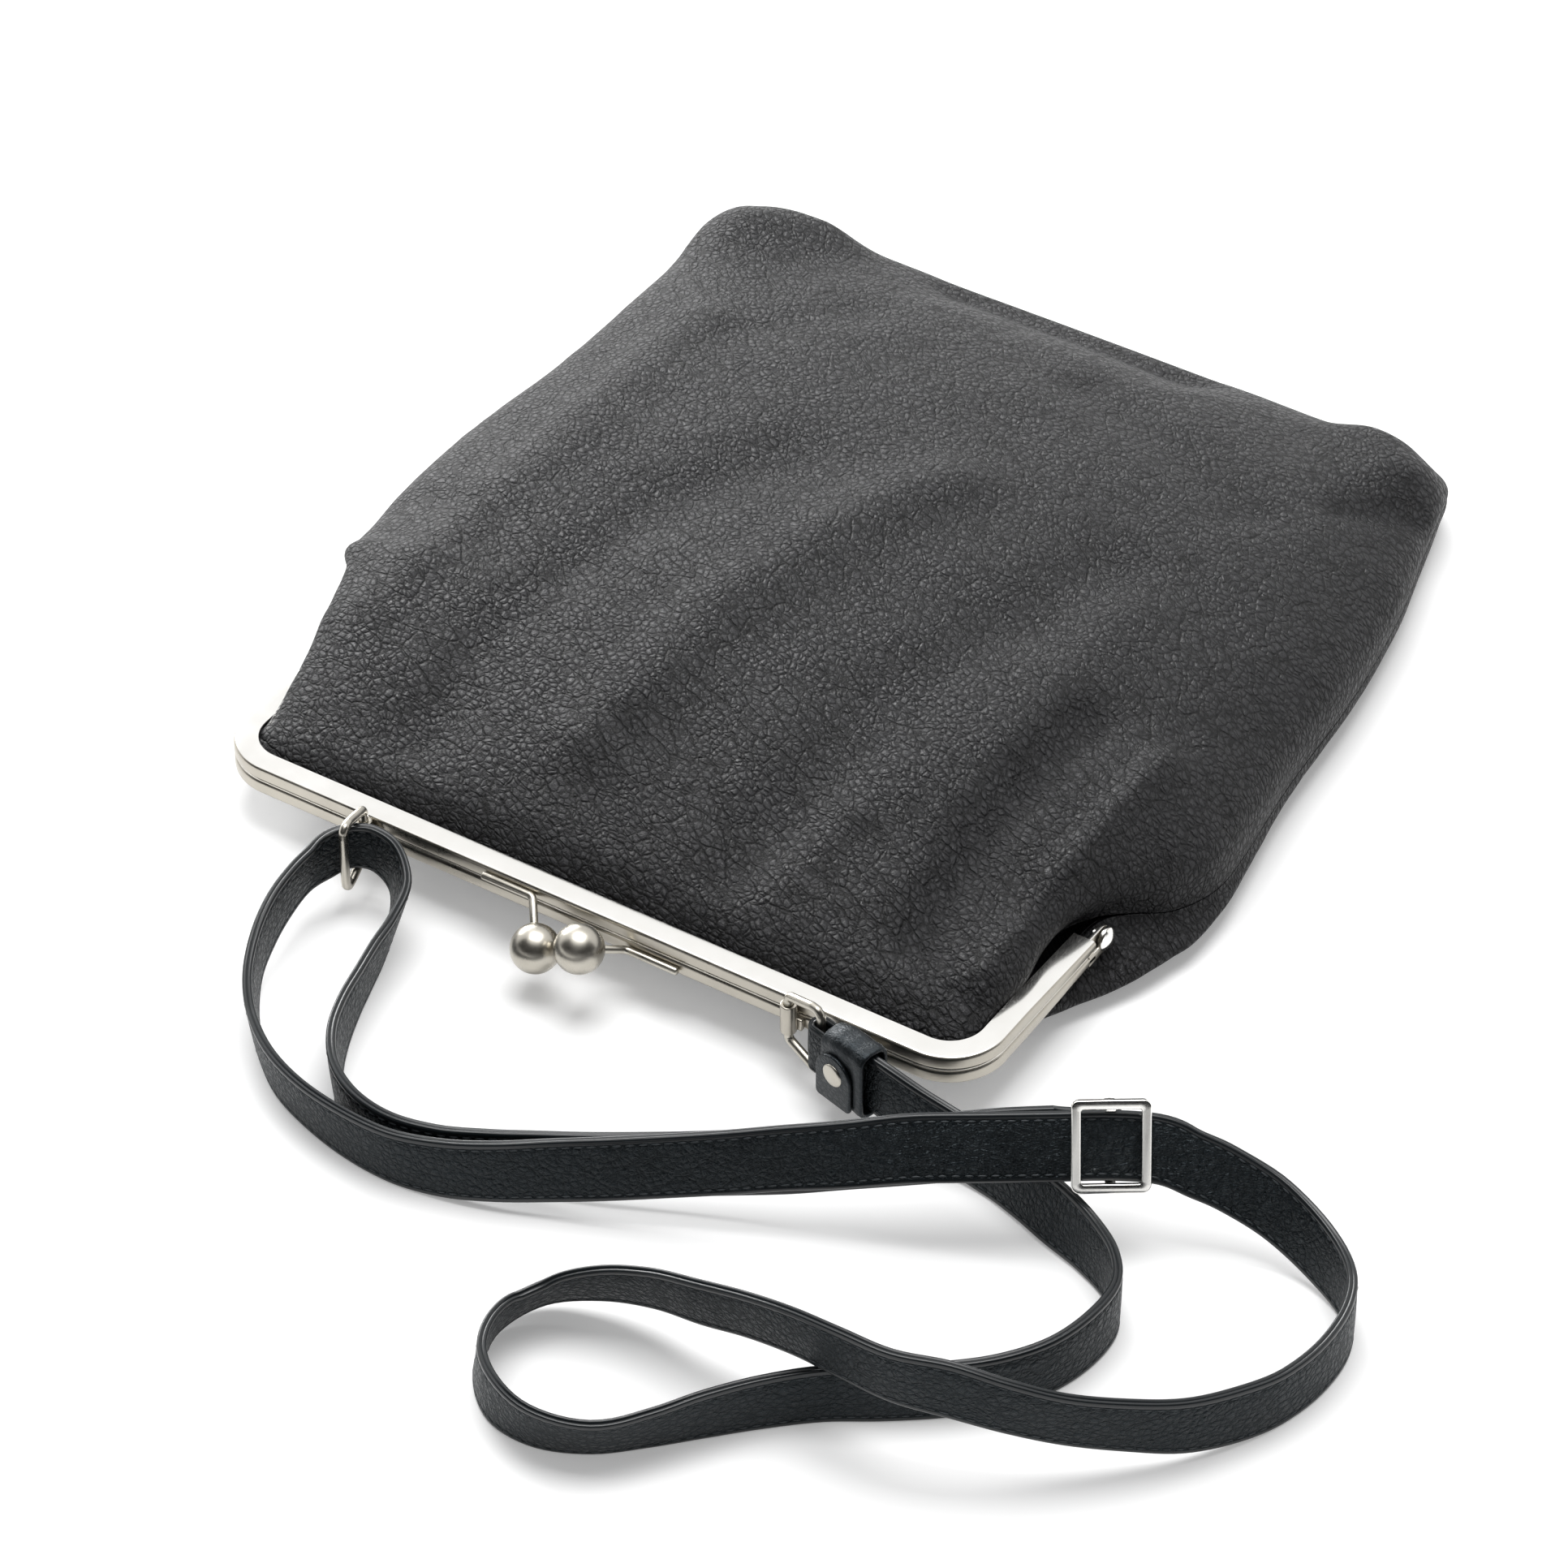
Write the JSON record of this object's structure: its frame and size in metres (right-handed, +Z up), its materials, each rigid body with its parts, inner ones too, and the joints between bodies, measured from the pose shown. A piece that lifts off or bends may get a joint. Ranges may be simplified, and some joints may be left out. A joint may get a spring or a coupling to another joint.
{
  "type": "kiss lock frame purse",
  "caption": "Soft leather purse on a hinged metal kiss lock frame, lying on its back with its adjustable strap laid out in loops.",
  "frame": {"origin": "on the floor plane under the middle of the bag's back, 150 mm behind the outer side of the frame's bar and in the middle of the bar's length", "axes": "+X along the frame's bar, +Y from the bar towards the bag's bottom, +Z up from the back on which the bag lies"},
  "size_m": [0.3971, 0.4713, 0.0478],
  "materials": {
    "frame_nickel": "satin nickel plate",
    "ball_nickel": "polished nickel plate",
    "ring_nickel": "polished nickel plate",
    "rivet_nickel": "satin nickel plate",
    "bag_leather": "soft pebbled grain, charcoal",
    "wrap_leather": "fine grain, near black",
    "strap_leather": "two stitched layers, fine grain, near black",
    "lining": "plain woven lining",
    "paper_cord": "twisted paper cord"
  },
  "bodies": {
    "bag": {"back_frame": "frame_nickel", "back_ball": "ball_nickel", "back_ball_stem": "frame_nickel", "back_paper_cord": "paper_cord", "left_hinge_rivet": "frame_nickel", "right_hinge_rivet": "frame_nickel", "left_ring_bracket": "ring_nickel", "right_ring_bracket": "ring_nickel", "front_panel": "bag_leather", "back_panel": "bag_leather", "front_lining": "lining", "back_lining": "lining", "strap_start": "strap_leather", "strap_long": "strap_leather", "strap_return": "strap_leather"},
    "front_half": {"front_frame": "frame_nickel", "front_ball": "ball_nickel", "front_ball_stem": "frame_nickel", "front_paper_cord": "paper_cord", "front_mouth": "bag_leather"},
    "left_ring_swivel": {"left_ring": "ring_nickel"},
    "right_ring_swivel": {"right_ring": "ring_nickel", "ring_fold": "strap_leather", "strap_wrap": "wrap_leather", "wrap_rivet": "rivet_nickel", "wrap_rivet_back": "rivet_nickel"},
    "slider": {"slider_frame": "ring_nickel", "slider_bar": "ring_nickel", "slider_fold": "strap_leather"}
  },
  "joints": [
    {"name": "frame_hinge", "type": "hinge", "parent": "bag", "child": "front_half", "pos_m": [0, -0.08, 0.018], "axis": [-1, 0, 0], "range_deg": [0, 90], "deforming": ["front_mouth", "front_lining"]},
    {"name": "left_ring_swing", "type": "hinge", "parent": "bag", "child": "left_ring_swivel", "pos_m": [-0.069, -0.15275, 0.0196], "axis": [0, 0, 1], "range_deg": [-8, 25]},
    {"name": "right_ring_swing", "type": "hinge", "parent": "bag", "child": "right_ring_swivel", "pos_m": [0.069, -0.15275, 0.0185], "axis": [0, 0, 1], "range_deg": [-25, 5], "deforming": ["strap_start"]},
    {"name": "slider_slide", "type": "slide", "parent": "bag", "child": "slider", "axis": [-0.829, -0.5592, 0], "range_m": [0, 0.026], "deforming": ["strap_return"]}
  ]
}
